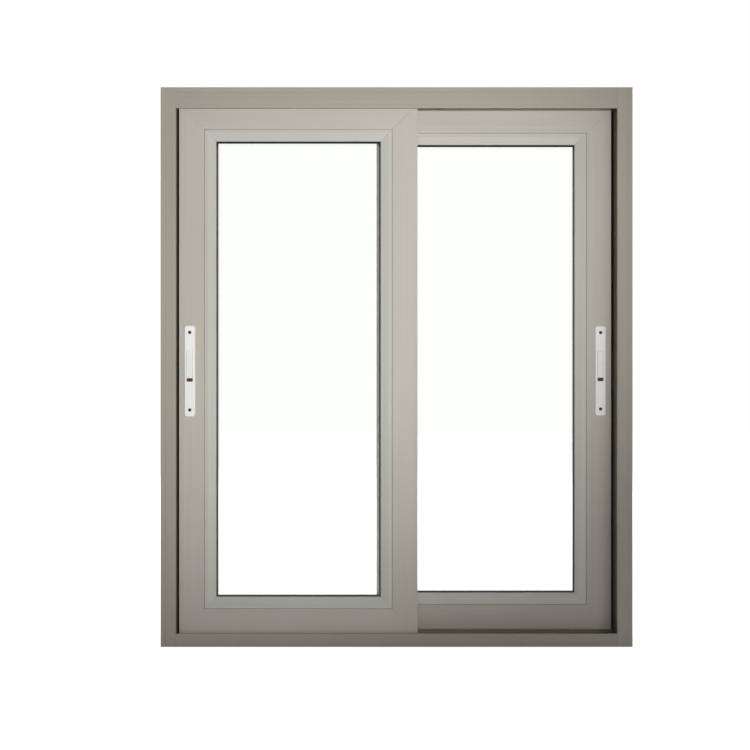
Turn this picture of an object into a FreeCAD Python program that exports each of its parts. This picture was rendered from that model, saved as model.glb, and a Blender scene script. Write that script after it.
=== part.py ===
import FreeCAD, Part
import math
import os

from FreeCAD import Vector

# Horizontal sliding window with two sashes in an extruded aluminium frame.
# Millimetres, +Z up, -Y indoors. Origin: middle of the sill's underside.

# Frame, overall sizes
FRAME_WIDTH = 970.0
FRAME_HEIGHT = 1150.0
FRAME_DEPTH = 88.0
FRAME_WALL = 1.8
JAMB_FACE = 31.0
HEAD_FACE = 43.0
SILL_LIP = 27.0
EDGE_RADIUS = 0.9
FACE_LINE_INSET = 10.0
SILL_LINE_INSET = 7.0
FACE_LINE_WIDTH = 1.0
FACE_LINE_DEPTH = 0.6

# Tracks: the sashes run on two rails, one behind the other
TRACK_PITCH = 40.0
PLATFORM_WIDTH = 32.0
PLATFORM_HEIGHT = 14.0
RAIL_RISE = 8.0
RAIL_THICKNESS = 2.4
RAIL_HEAD_RADIUS = 2.0
HEAD_CHAMBER = 16.0
HEAD_FIN_OVERLAP = 5.5
JAMB_FIN_OVERLAP = 11.0
FIN_THICKNESS = 2.4
FIN_TIP_RADIUS = 0.9
FIN_END_GAP = 2.0
JAMB_RETURN = 5.0
JAMB_RIB_SPACING = 24.0
JAMB_RIB_HEIGHT = 11.0
JAMB_RIB_FOOT = 4.0

# Screws that hold head and sill between the jambs
PORT_OFFSET = 29.0
PORT_BORE = 1.8
PORT_WALL = 1.8
SCREW_SHANK = 1.6
SCREW_LENGTH = 20.0
SCREW_HEAD_RADIUS = 4.4
SCREW_HEAD_HEIGHT = 2.6
SCREW_HEAD_CROWN = 1.2
SCREW_HOLE_GAP = 0.3

# Holes for the wall fixings, on the web between the tracks
FIXING_HOLE_RADIUS = 3.25
FIXING_SPACING = 700.0

# Drain slots through the sill's outdoor lip
DRAIN_LENGTH = 34.0
DRAIN_HEIGHT = 5.0
DRAIN_INSET = 130.0

# Sashes
SASH_DEPTH = 30.0
SASH_FACE = 52.0
SASH_WALL = 1.6
SASH_SIDE_GAP = 5.0
SASH_OVERLAP = 86.0
SASH_FOOT_GAP = 10.0
SASH_HEAD_ENTRY = 10.0
CHANNEL_WIDTH = 13.2
CHANNEL_DEPTH = 28.0
FLANGE_WIDTH = 22.0
NIB_SIZE = 1.2
NIB_REACH = 1.6
HOOK_INSET = 38.0
HOOK_THICKNESS = 1.4
HOOK_LIP_GAP = 4.0
HOOK_END_GAP = 1.0
NOTCH_GAP = 4.0
MITRE_JOINT = 0.25
PILE_NIB = 0.8
PILE_NIB_LIP = 0.9
PILE_BASE_GAP = 0.1

# Glazing
PANE = 5.0
PANE_SPACE = 8.0
SPACER_WIDTH = 7.0
SPACER_INSET = 6.0
SPACER_WALL = 0.8
GASKET_THICKNESS = 2.0
BEAD_WIDTH = 24.0
BEAD_BAND = 7.5
BEAD_SKIN = 1.4
BEAD_DROP = 0.4
BEAD_LINE = 0.8
BEAD_LINE_DEPTH = 2.8
BEAD_EDGE_RADIUS = 0.4
BEAD_LEG_PAST_GLASS = 1.0
GASKET_SHOW = 4.0
GASKET_GRIP = 5.0
GASKET_LIP = 0.8
GASKET_LIP_RADIUS = 0.4
OUTER_GASKET_SHOW = 2.0
GLASS_EDGE_GAP = 5.0
BLOCK_LENGTH = 60.0
BLOCK_END_INSET = 50.0
BLOCK_GAP = 0.5

# Corner cleats inside the sash corners
CLEAT_ARM = 60.0
CLEAT_GAP = 0.3
CLEAT_LEG = 5.0

# Rollers
ROLLER_RADIUS = 10.5
ROLLER_GROOVE = 2.0
ROLLER_GROOVE_WIDTH = 4.6
ROLLER_WIDTH = 8.0
ROLLER_AXLE = 2.0
ROLLER_FIT = 0.1
ROLLER_RIM = 0.5
ROLLER_GROOVE_TAPER = 0.8
ROLLER_INSET = 80.0
HOUSING_LENGTH = 56.0
HOUSING_WALL = 1.6
HOUSING_SIDE_GAP = 0.2
HOUSING_RAIL_GAP = 1.0
POCKET_END_GAP = 1.0

# Pile seals: a backing in a slot of the channel's wall, and a narrower brush
PILE_WIDTH = 4.8
PILE_BASE = 1.0
PILE_BRUSH_WIDTH = 2.6
PILE_INSET = 2.0
PILE_GAP = 0.3
PILE_END_GAP = 2.0

# Blocks in the head that keep the closed sashes from being lifted out
ANTI_LIFT_LENGTH = 45.0
ANTI_LIFT_GAP = 2.0
ANTI_LIFT_SIDE_GAP = 0.3
ANTI_LIFT_EDGE = 1.5

# Flush slide locks
LOCK_END = 13.5
LOCK_WIDTH = 21.5
LOCK_THICKNESS = 3.0
LOCK_CORNER = 5.0
LOCK_INSET = 22.5
LOCK_DROP = 4.0
LOCK_EDGE = 0.8
LOCK_SCREW_PITCH = 160.0
LOCK_SLOT_WIDTH = 13.0
LOCK_SLOT_RADIUS = 1.5
LOCK_SLOT_LIFT = 10.0
LOCK_SLOT_DEPTH = 2.2
SLIDER_LENGTH = 56.0
SLIDER_GAP = 0.4
SLIDER_RISE = 2.2
SLIDER_TRAVEL = 8.0
SLIDER_EDGE = 0.7
SLIDER_GRIP_RADIUS = 0.7
SLIDER_GRIP_COUNT = 5
SLIDER_GRIP_PITCH = 3.0
INDICATOR_THICKNESS = 0.8
LOCK_SCREW_RADIUS = 3.4
LOCK_SCREW_SINK = 0.4
LOCK_SCREW_SHANK = 1.8
LOCK_SCREW_LENGTH = 9.0
LOCK_SCREW_GAP = 0.2
KEEPER_LENGTH = 80.0
KEEPER_WIDTH = 12.0
KEEPER_THICKNESS = 1.8
KEEPER_SLOT_LENGTH = 34.0
KEEPER_SLOT_WIDTH = 5.0

# Places worked out from the sizes above
HALF_WIDTH = FRAME_WIDTH / 2
HALF_DEPTH = FRAME_DEPTH / 2
DAYLIGHT_HALF = HALF_WIDTH - JAMB_FACE
RAIL_TOP = PLATFORM_HEIGHT + RAIL_RISE
LIP_EDGE = FRAME_HEIGHT - HEAD_FACE
SASH_BOTTOM = PLATFORM_HEIGHT + SASH_FOOT_GAP
SASH_TOP = LIP_EDGE + SASH_HEAD_ENTRY
SASH_WIDTH = DAYLIGHT_HALF - SASH_SIDE_GAP + SASH_OVERLAP / 2
HEAD_FIN_TIP = SASH_TOP - HEAD_FIN_OVERLAP
CHAMBER_FLOOR = FRAME_HEIGHT - HEAD_CHAMBER
SASH_MIDDLE = (SASH_BOTTOM + SASH_TOP) / 2
GLASS_BACK = SASH_DEPTH - SASH_WALL - GASKET_THICKNESS
GLASS_FRONT = GLASS_BACK - 2 * PANE - PANE_SPACE
BEAD_FOOT = GLASS_FRONT - GASKET_THICKNESS
GLASS_EDGE = SASH_FACE + GLASS_EDGE_GAP
BEAD_TIP = SASH_FACE + BEAD_WIDTH
CHANNEL_FRONT = (SASH_DEPTH - CHANNEL_WIDTH) / 2
CHANNEL_BACK = (SASH_DEPTH + CHANNEL_WIDTH) / 2
MITRE_REACH = BEAD_TIP + 2 * GASKET_SHOW
BEAD_SEAT = GLASS_FRONT + BEAD_LEG_PAST_GLASS
LOCK_HEIGHT = LOCK_SCREW_PITCH + 2 * LOCK_END
LOCK_LEVEL = SASH_MIDDLE - LOCK_DROP
LOCK_SLOT_LENGTH = SLIDER_LENGTH + SLIDER_TRAVEL
SIDES = ("left", "bottom", "right", "top")


class Plane:
    """A drawing plane: its origin and its two directions."""

    def __init__(self, origin, across, up):
        self.origin = origin
        self.across = across
        self.up = up

    def point(self, a, b):
        return self.origin + self.across * a + self.up * b


def closed_wire(plane, corners):
    """Closed outline through corners (a, b) or (a, b, radius), a radius rounding its corner."""
    starts, ends, middles = [], [], []
    count = len(corners)
    for index, corner in enumerate(corners):
        here = Vector(corner[0], corner[1], 0)
        radius = corner[2] if len(corner) > 2 else 0.0
        before = Vector(*corners[index - 1][:2], 0) - here
        after = Vector(*corners[(index + 1) % count][:2], 0) - here
        if radius <= 0:
            starts.append(here)
            ends.append(here)
            middles.append(None)
            continue
        half = before.getAngle(after) / 2
        reach = radius / math.tan(half)
        before.normalize()
        after.normalize()
        bisector = before + after
        bisector.normalize()
        centre = here + bisector * (radius / math.sin(half))
        starts.append(here + before * reach)
        ends.append(here + after * reach)
        middles.append(centre - bisector * radius)
    edges = []
    for index in range(count):
        if middles[index] is not None:
            arc = [plane.point(p.x, p.y) for p in (starts[index], middles[index], ends[index])]
            edges.append(Part.Arc(*arc).toShape())
        leave = ends[index]
        arrive = starts[(index + 1) % count]
        if (arrive - leave).Length > 1e-6:
            line = (plane.point(leave.x, leave.y), plane.point(arrive.x, arrive.y))
            edges.append(Part.LineSegment(*line).toShape())
    return Part.Wire(edges)


def face(plane, corners):
    return Part.Face(closed_wire(plane, corners))


def rectangle(plane, a0, b0, a1, b1, radius=0.0):
    corners = [(a0, b0), (a1, b0), (a1, b1), (a0, b1)]
    return face(plane, [(a, b, radius) for a, b in corners])


def disc(plane, a, b, radius):
    normal = plane.across.cross(plane.up)
    return Part.Face(Part.Wire(Part.makeCircle(radius, plane.point(a, b), normal)))


def bar(section, run):
    """Solid of a section drawn in several overlapping pieces, pushed along run."""
    solids = section.extrude(run).Solids
    if len(solids) == 1:
        return solids[0]
    return solids[0].fuse(solids[1:]).removeSplitter()


def box(x0, y0, z0, x1, y1, z1):
    low = Vector(min(x0, x1), min(y0, y1), min(z0, z1))
    return Part.makeBox(abs(x1 - x0), abs(y1 - y0), abs(z1 - z0), low)


def slot_cutter(plane, a, b, length, width, depth):
    """Rounded slot, its long side along the plane's first direction."""
    outline = rectangle(plane, a - length / 2, b - width / 2, a + length / 2, b + width / 2, width / 2)
    return outline.extrude(plane.across.cross(plane.up) * depth)


# Frame

def sill_section():
    """Sill: indoor lip, two hollow platforms with a rail each, outdoor lip."""
    plane = Plane(Vector(-DAYLIGHT_HALF, 0, 0), Vector(0, 1, 0), Vector(0, 0, 1))
    half = HALF_DEPTH
    lip = half - FRAME_WALL
    inner = TRACK_PITCH / 2 - PLATFORM_WIDTH / 2
    outer = TRACK_PITCH / 2 + PLATFORM_WIDTH / 2
    line_low = SILL_LINE_INSET - FACE_LINE_WIDTH / 2
    line_high = SILL_LINE_INSET + FACE_LINE_WIDTH / 2
    line_deep = half - FACE_LINE_DEPTH
    right = [(inner, FRAME_WALL), (inner, PLATFORM_HEIGHT, EDGE_RADIUS)]
    right += [(outer, PLATFORM_HEIGHT, EDGE_RADIUS), (outer, FRAME_WALL), (lip, FRAME_WALL)]
    right += [(lip, SILL_LIP), (half, SILL_LIP, EDGE_RADIUS), (half, line_high)]
    right += [(line_deep, line_high), (line_deep, line_low), (half, line_low), (half, 0)]
    left = [(-a, b, *rest) for a, b, *rest in reversed(right)]
    section = face(plane, left + right)
    for side in (-1, 1):
        low = side * TRACK_PITCH / 2 - PLATFORM_WIDTH / 2 + FRAME_WALL
        high = side * TRACK_PITCH / 2 + PLATFORM_WIDTH / 2 - FRAME_WALL
        section = section.cut(rectangle(plane, low, FRAME_WALL, high, PLATFORM_HEIGHT - FRAME_WALL))
        middle = side * TRACK_PITCH / 2
        half_rail = RAIL_THICKNESS / 2
        head = RAIL_TOP - RAIL_HEAD_RADIUS
        foot = PLATFORM_HEIGHT - FRAME_WALL / 2
        section = section.fuse(rectangle(plane, middle - half_rail, foot, middle + half_rail, head))
        section = section.fuse(disc(plane, middle, head, RAIL_HEAD_RADIUS))
        port_z = port_height_sill()
        ring = PORT_BORE + PORT_WALL
        port = disc(plane, side * PORT_OFFSET, port_z, ring)
        stem = rectangle(plane, side * PORT_OFFSET - PORT_WALL / 2, FRAME_WALL / 2,
                         side * PORT_OFFSET + PORT_WALL / 2, port_z)
        section = section.fuse(port).fuse(stem).cut(disc(plane, side * PORT_OFFSET, port_z, PORT_BORE))
    return section


def port_height_sill():
    return PLATFORM_HEIGHT / 2


def port_height_head():
    return FRAME_HEIGHT - HEAD_CHAMBER / 2


def frame_sill():
    sill = bar(sill_section(), Vector(2 * DAYLIGHT_HALF, 0, 0))
    outside = Plane(Vector(0, HALF_DEPTH + 1, 0), Vector(-1, 0, 0), Vector(0, 0, 1))
    middle = FRAME_WALL + DRAIN_HEIGHT / 2
    for side in (-1, 1):
        centre = side * (DAYLIGHT_HALF - DRAIN_INSET)
        deep = HALF_DEPTH - TRACK_PITCH / 2 - PLATFORM_WIDTH / 2
        cutter = slot_cutter(outside, -centre, middle, DRAIN_LENGTH, DRAIN_HEIGHT, -(deep + 1))
        sill = sill.cut(cutter)
    return sill


def head_section():
    """Head: indoor and outdoor lips, a closed chamber and a guide fin over each rail."""
    plane = Plane(Vector(-DAYLIGHT_HALF, 0, 0), Vector(0, 1, 0), Vector(0, 0, 1))
    half = HALF_DEPTH
    lip = half - FRAME_WALL
    top = FRAME_HEIGHT
    line = top - FACE_LINE_INSET
    line_low = line - FACE_LINE_WIDTH / 2
    line_high = line + FACE_LINE_WIDTH / 2
    line_deep = half - FACE_LINE_DEPTH
    right = [(lip, CHAMBER_FLOOR), (lip, LIP_EDGE), (half, LIP_EDGE, EDGE_RADIUS)]
    right += [(half, line_low), (line_deep, line_low), (line_deep, line_high)]
    right += [(half, line_high), (half, top)]
    corners = right + [(-a, b, *rest) for a, b, *rest in reversed(right)]
    section = face(plane, corners)
    chamber = rectangle(plane, -lip, CHAMBER_FLOOR + FRAME_WALL, lip, top - FRAME_WALL)
    section = section.cut(chamber)
    web = FRAME_WALL / 2
    section = section.fuse(rectangle(plane, -web, CHAMBER_FLOOR + web, web, top - web))
    port_z = port_height_head()
    for side in (-1, 1):
        middle = side * TRACK_PITCH / 2
        half_fin = FIN_THICKNESS / 2
        fin = [(middle - half_fin, CHAMBER_FLOOR + web), (middle + half_fin, CHAMBER_FLOOR + web)]
        fin += [(middle + half_fin, HEAD_FIN_TIP, FIN_TIP_RADIUS)]
        fin += [(middle - half_fin, HEAD_FIN_TIP, FIN_TIP_RADIUS)]
        section = section.fuse(face(plane, fin))
        port = disc(plane, side * PORT_OFFSET, port_z, PORT_BORE + PORT_WALL)
        stem = rectangle(plane, side * PORT_OFFSET - PORT_WALL / 2, port_z,
                         side * PORT_OFFSET + PORT_WALL / 2, top - web)
        section = section.fuse(port).fuse(stem).cut(disc(plane, side * PORT_OFFSET, port_z, PORT_BORE))
    return section


def frame_head():
    return bar(head_section(), Vector(2 * DAYLIGHT_HALF, 0, 0))


def frame_jamb():
    """Left jamb: a channel open to the wall, with one guide fin in the indoor track."""
    plane = Plane(Vector(0, 0, 0), Vector(1, 0, 0), Vector(0, 1, 0))
    half = HALF_DEPTH
    outer = -HALF_WIDTH
    web = -DAYLIGHT_HALF
    back = web - FRAME_WALL
    wall = half - FRAME_WALL
    ret = wall - JAMB_RETURN
    line = outer + FACE_LINE_INSET
    line_low = line - FACE_LINE_WIDTH / 2
    line_high = line + FACE_LINE_WIDTH / 2
    line_deep = half - FACE_LINE_DEPTH
    outdoor = [(web, half, EDGE_RADIUS), (line_high, half), (line_high, line_deep)]
    outdoor += [(line_low, line_deep), (line_low, half), (outer, half, EDGE_RADIUS), (outer, ret)]
    outdoor += [(outer + FRAME_WALL, ret), (outer + FRAME_WALL, wall), (back, wall)]
    corners = outdoor + [(a, -b, *rest) for a, b, *rest in reversed(outdoor)]
    section = face(plane, corners)
    rib_tip = back - JAMB_RIB_HEIGHT
    for side in (-1, 1):
        near = side * JAMB_RIB_SPACING / 2
        far = near + side * FRAME_WALL
        foot = near - side * JAMB_RIB_FOOT
        rib = [(back + FRAME_WALL / 2, near), (back + FRAME_WALL / 2, far), (rib_tip, far)]
        rib += [(rib_tip, foot), (rib_tip + FRAME_WALL, foot), (rib_tip + FRAME_WALL, near)]
        section = section.fuse(face(plane, rib))
    jamb = bar(section, Vector(0, 0, FRAME_HEIGHT))
    middle = -TRACK_PITCH / 2
    half_fin = FIN_THICKNESS / 2
    tip = web + SASH_SIDE_GAP + JAMB_FIN_OVERLAP
    fin = [(web - FRAME_WALL / 2, middle - half_fin), (tip, middle - half_fin, FIN_TIP_RADIUS)]
    fin += [(tip, middle + half_fin, FIN_TIP_RADIUS), (web - FRAME_WALL / 2, middle + half_fin)]
    low = RAIL_TOP + FIN_END_GAP
    high = HEAD_FIN_TIP - FIN_END_GAP
    blade = face(plane, fin).extrude(Vector(0, 0, high - low))
    blade.translate(Vector(0, 0, low))
    jamb = jamb.fuse(blade).removeSplitter()
    for offset in (-1, 1):
        z = FRAME_HEIGHT / 2 + offset * FIXING_SPACING / 2
        jamb = jamb.cut(web_hole(0, z, FIXING_HOLE_RADIUS))
    for y, z in corner_screw_places():
        jamb = jamb.cut(web_hole(y, z, SCREW_SHANK + SCREW_HOLE_GAP))
    return jamb


def web_hole(y, z, radius):
    start = Vector(-DAYLIGHT_HALF - 2 * FRAME_WALL, y, z)
    return Part.makeCylinder(radius, 3 * FRAME_WALL, start, Vector(1, 0, 0))


def corner_screw_places():
    places = []
    for z in (port_height_sill(), port_height_head()):
        for side in (-1, 1):
            places.append((side * PORT_OFFSET, z))
    return places


def turned(shape):
    """Turned half round about the window's upright middle line."""
    copy = shape.copy()
    copy.rotate(Vector(0, 0, 0), Vector(0, 0, 1), 180)
    return copy


def frame_corner_screws():
    """Pan head screws through the jamb webs into the ports of head and sill."""
    screws = []
    seat = -DAYLIGHT_HALF - FRAME_WALL
    for y, z in corner_screw_places():
        shank = Part.makeCylinder(SCREW_SHANK, SCREW_LENGTH, Vector(seat, y, z), Vector(1, 0, 0))
        low = SCREW_HEAD_HEIGHT - SCREW_HEAD_CROWN
        head = Part.makeCylinder(SCREW_HEAD_RADIUS, low, Vector(seat, y, z), Vector(-1, 0, 0))
        top_radius = SCREW_HEAD_RADIUS - SCREW_HEAD_CROWN
        crown = Part.makeCone(SCREW_HEAD_RADIUS, top_radius, SCREW_HEAD_CROWN,
                              Vector(seat - low, y, z), Vector(-1, 0, 0))
        head = head.fuse(crown)
        screw = head.fuse(shank).removeSplitter()
        screws += [screw, turned(screw)]
    return Part.makeCompound(screws)


# Sashes

class Sash:
    """Placement of one sash: its outer edges, front face and which side locks."""

    def __init__(self, name, lock_side):
        self.name = name
        self.lock_side = lock_side
        outer = DAYLIGHT_HALF - SASH_SIDE_GAP
        self.left = -outer if lock_side == "left" else outer - SASH_WIDTH
        self.right = self.left + SASH_WIDTH
        self.track = -TRACK_PITCH / 2 if lock_side == "left" else TRACK_PITCH / 2
        self.front = self.track - SASH_DEPTH / 2
        self.meeting_side = "right" if lock_side == "left" else "left"

    def plane(self, side):
        """Drawing plane of a member: first direction inwards from the outer edge, second outdoors."""
        depth = Vector(0, 1, 0)
        if side == "left":
            return Plane(Vector(self.left, self.front, SASH_BOTTOM), Vector(1, 0, 0), depth)
        if side == "right":
            return Plane(Vector(self.right, self.front, SASH_BOTTOM), Vector(-1, 0, 0), depth)
        if side == "bottom":
            return Plane(Vector(self.left, self.front, SASH_BOTTOM), Vector(0, 0, 1), depth)
        return Plane(Vector(self.left, self.front, SASH_TOP), Vector(0, 0, -1), depth)

    def run(self, side):
        if side in ("left", "right"):
            return Vector(0, 0, SASH_TOP - SASH_BOTTOM)
        return Vector(self.right - self.left, 0, 0)

    def mitre(self, side, joint):
        """Block that keeps the part of a member between its two mitres, short by half a joint each."""
        reach = MITRE_REACH
        back = joint / math.sqrt(2)
        x0, x1 = self.left, self.right
        z0, z1 = SASH_BOTTOM, SASH_TOP
        if side in ("left", "right"):
            x, inward = (x0, reach) if side == "left" else (x1, -reach)
            corners = [(x, z0 + back), (x + inward, z0 + reach + back)]
            corners += [(x + inward, z1 - reach - back), (x, z1 - back)]
        else:
            z, inward = (z0, reach) if side == "bottom" else (z1, -reach)
            corners = [(x0 + back, z), (x0 + reach + back, z + inward)]
            corners += [(x1 - reach - back, z + inward), (x1 - back, z)]
        start = self.front - SASH_DEPTH
        plane = Plane(Vector(0, start, 0), Vector(1, 0, 0), Vector(0, 0, 1))
        return face(plane, corners).extrude(Vector(0, 3 * SASH_DEPTH, 0))

    def member(self, side, section, joint=MITRE_JOINT):
        return bar(section, self.run(side)).common(self.mitre(side, joint)).removeSplitter()

    def ring(self, profile):
        """The same profile on all four sides, joined at the mitres."""
        members = [self.member(side, profile(self.plane(side)), 0.0) for side in SIDES]
        return members[0].fuse(members[1:]).removeSplitter()


def rebate_corners():
    """The glass side of a sash section: bead nib, rebate and outdoor flange."""
    corners = [(SASH_FACE, 0, EDGE_RADIUS), (SASH_FACE, BEAD_SEAT), (SASH_FACE + NIB_REACH, BEAD_SEAT)]
    corners += [(SASH_FACE + NIB_REACH, BEAD_SEAT + NIB_SIZE), (SASH_FACE, BEAD_SEAT + NIB_SIZE)]
    corners += [(SASH_FACE, SASH_DEPTH - SASH_WALL), (SASH_FACE + FLANGE_WIDTH, SASH_DEPTH - SASH_WALL)]
    corners += [(SASH_FACE + FLANGE_WIDTH, SASH_DEPTH, EDGE_RADIUS)]
    return corners


def rail_section(plane):
    """Sash profile with a channel round its outer edge for the rail, the fins and the rollers."""
    corners = [(0, 0, EDGE_RADIUS)] + rebate_corners()
    corners += [(0, SASH_DEPTH, EDGE_RADIUS), (0, CHANNEL_BACK), (CHANNEL_DEPTH, CHANNEL_BACK)]
    corners += [(CHANNEL_DEPTH, CHANNEL_FRONT), (0, CHANNEL_FRONT)]
    section = face(plane, corners)
    wall = SASH_WALL
    front_high = CHANNEL_FRONT - wall
    back_low = CHANNEL_BACK + wall
    section = section.cut(rectangle(plane, wall, wall, CHANNEL_DEPTH, front_high))
    section = section.cut(rectangle(plane, wall, back_low, CHANNEL_DEPTH, SASH_DEPTH - wall))
    box_start = CHANNEL_DEPTH + wall
    section = section.cut(rectangle(plane, box_start, wall, SASH_FACE - wall, SASH_DEPTH - wall))
    for surface, out in ((CHANNEL_FRONT, 1), (CHANNEL_BACK, -1)):
        for nib in pile_slot_nibs(surface, out):
            section = section.fuse(face(plane, nib))
    return section


def pile_slot_nibs(surface, out):
    """The two hooked lips on a channel wall that hold a pile seal's backing."""
    height = PILE_BASE + PILE_BASE_GAP
    root = surface - out * SASH_WALL / 2
    low = surface + out * height
    high = low + out * PILE_NIB
    nibs = []
    for edge, inward in ((PILE_INSET, 1), (PILE_INSET + PILE_WIDTH, -1)):
        outer = edge - inward * PILE_NIB
        lip = edge + inward * PILE_NIB_LIP
        nibs.append([(outer, root), (outer, high), (lip, high), (lip, low), (edge, low), (edge, root)])
    return nibs


def meeting_section(plane, hook_outdoors):
    """Meeting stile: a closed profile with the interlock hook towards the other sash."""
    corners = [(0, 0, EDGE_RADIUS)] + rebate_corners() + [(0, SASH_DEPTH, EDGE_RADIUS)]
    section = face(plane, corners)
    wall = SASH_WALL
    section = section.cut(rectangle(plane, wall, wall, CHANNEL_DEPTH, SASH_DEPTH - wall))
    box_start = CHANNEL_DEPTH + wall
    section = section.cut(rectangle(plane, box_start, wall, SASH_FACE - wall, SASH_DEPTH - wall))
    surface = SASH_DEPTH if hook_outdoors else 0.0
    out = 1 if hook_outdoors else -1
    riser = HOOK_INSET
    lip_low = surface + out * hook_lip_distance()
    lip_high = lip_low + out * HOOK_THICKNESS
    tip = hook_tip()
    root = surface - out * wall / 2
    hook = [(riser, root), (riser + HOOK_THICKNESS, root), (riser + HOOK_THICKNESS, lip_low)]
    hook += [(tip, lip_low), (tip, lip_high), (riser, lip_high)]
    return section.fuse(face(plane, hook))


def hook_lip_distance():
    gap = TRACK_PITCH - SASH_DEPTH
    return gap / 2 + HOOK_LIP_GAP / 2


def hook_tip():
    """Where a hook's lip ends, short of the other sash's riser."""
    other_riser = SASH_OVERLAP - HOOK_INSET - HOOK_THICKNESS
    return other_riser - HOOK_END_GAP


def sash_members(sash):
    parts = {}
    for side in SIDES:
        plane = sash.plane(side)
        if side == sash.meeting_side:
            section = meeting_section(plane, sash.lock_side == "left")
        else:
            section = rail_section(plane)
        member = sash.member(side, section)
        if side == sash.meeting_side:
            member = member.cut(notch(sash, SASH_TOP)).cut(notch(sash, SASH_BOTTOM))
        label = {"top": "top_rail", "bottom": "bottom_rail"}.get(side)
        if label is None:
            label = "meeting_stile" if side == sash.meeting_side else "lock_stile"
        if label == "lock_stile":
            member = member.cut(lock_hole_cutters(sash))
        if label == "bottom_rail":
            member = member.cut(roller_pockets(sash))
        parts[sash.name + "_" + label] = member
    return parts


def notch(sash, end):
    """Notch in a meeting stile's end, which lets the rail and the head fin pass."""
    depth = HEAD_FIN_OVERLAP + NOTCH_GAP
    return box(sash.left - 1, sash.front + CHANNEL_FRONT, end - depth,
               sash.right + 1, sash.front + CHANNEL_BACK, end + depth)


def bead_section(plane):
    """Glazing bead: flat band, slope to the glass and a leg that seats on the sash's nib."""
    start = SASH_FACE + BEAD_LINE
    band = start + BEAD_BAND
    skin = BEAD_SKIN
    corners = [(start, BEAD_DROP, BEAD_EDGE_RADIUS), (band, BEAD_DROP)]
    corners += [(BEAD_TIP, BEAD_FOOT - skin, BEAD_EDGE_RADIUS)]
    corners += [(BEAD_TIP, BEAD_FOOT), (BEAD_TIP - GASKET_GRIP, BEAD_FOOT)]
    corners += [(band, BEAD_DROP + skin), (start + skin, BEAD_DROP + skin)]
    corners += [(start + skin, BEAD_SEAT), (SASH_FACE, BEAD_SEAT), (SASH_FACE, BEAD_LINE_DEPTH)]
    corners += [(start, BEAD_LINE_DEPTH)]
    return face(plane, corners)


def inner_gasket_section(plane):
    """Black wedge between the bead and the glass, with a sloping lip that shows."""
    start = BEAD_TIP - GASKET_GRIP
    tip = BEAD_TIP + GASKET_SHOW
    corners = [(start, BEAD_FOOT), (BEAD_TIP, BEAD_FOOT)]
    corners += [(tip, GLASS_FRONT - GASKET_LIP, GASKET_LIP_RADIUS), (tip, GLASS_FRONT), (start, GLASS_FRONT)]
    return face(plane, corners)


def outer_gasket_section(plane):
    edge = SASH_FACE + FLANGE_WIDTH
    tip = edge + OUTER_GASKET_SHOW
    seat = SASH_DEPTH - SASH_WALL
    corners = [(edge - GASKET_GRIP, GLASS_BACK), (tip, GLASS_BACK), (tip, seat, GASKET_LIP)]
    corners += [(edge - GASKET_GRIP, seat)]
    return face(plane, corners)


def spacer_section(plane):
    start = GLASS_EDGE + SPACER_INSET
    low = GLASS_FRONT + PANE
    high = low + PANE_SPACE
    wall = SPACER_WALL
    outline = rectangle(plane, start, low, start + SPACER_WIDTH, high)
    return outline.cut(rectangle(plane, start + wall, low + wall, start + SPACER_WIDTH - wall, high - wall))


def glass_panes(sash):
    panes = []
    for depth in (GLASS_FRONT, GLASS_FRONT + PANE + PANE_SPACE):
        y = sash.front + depth
        panes.append(box(sash.left + GLASS_EDGE, y, SASH_BOTTOM + GLASS_EDGE,
                         sash.right - GLASS_EDGE, y + PANE, SASH_TOP - GLASS_EDGE))
    return Part.makeCompound(panes)


def setting_blocks(sash):
    """Blocks that carry the glass on the bottom rail."""
    blocks = []
    low = SASH_BOTTOM + SASH_FACE
    for start in (sash.left + GLASS_EDGE + BLOCK_END_INSET,
                  sash.right - GLASS_EDGE - BLOCK_END_INSET - BLOCK_LENGTH):
        blocks.append(box(start, sash.front + BEAD_SEAT + NIB_SIZE + BLOCK_GAP, low,
                          start + BLOCK_LENGTH, sash.front + GLASS_BACK, low + GLASS_EDGE_GAP))
    return blocks


def corner_cleats(sash):
    """L-shaped cleats in the hollow chambers of the four corners."""
    inset = CHANNEL_DEPTH + SASH_WALL + CLEAT_GAP
    width = SASH_FACE - SASH_WALL - CLEAT_GAP - inset
    arm = CLEAT_ARM
    corners = [(inset, inset), (inset + arm, inset), (inset + arm, inset + CLEAT_LEG)]
    corners += [(inset + width, inset + width), (inset + CLEAT_LEG, inset + arm), (inset, inset + arm)]
    low = sash.front + SASH_WALL + CLEAT_GAP
    depth = SASH_DEPTH - 2 * SASH_WALL - 2 * CLEAT_GAP
    cleats = []
    for x, across in ((sash.left, 1), (sash.right, -1)):
        for z, up in ((SASH_BOTTOM, 1), (SASH_TOP, -1)):
            plane = Plane(Vector(x, low, z), Vector(across, 0, 0), Vector(0, 0, up))
            cleats.append(face(plane, corners).extrude(Vector(0, depth, 0)))
    return cleats


def roller_places(sash):
    axle = RAIL_TOP + ROLLER_RADIUS - ROLLER_GROOVE
    return [(sash.left + ROLLER_INSET, axle), (sash.right - ROLLER_INSET, axle)]


def roller_pockets(sash):
    """Lengths of the bottom channel without lips, milled for the roller housings."""
    half = HOUSING_LENGTH / 2 + POCKET_END_GAP
    high = SASH_BOTTOM + PILE_INSET + PILE_WIDTH + 2 * PILE_NIB
    pockets = []
    for x, z in roller_places(sash):
        pockets.append(box(x - half, sash.front + CHANNEL_FRONT, SASH_BOTTOM - 1,
                           x + half, sash.front + CHANNEL_BACK, high))
    return Part.makeCompound(pockets)


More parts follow.
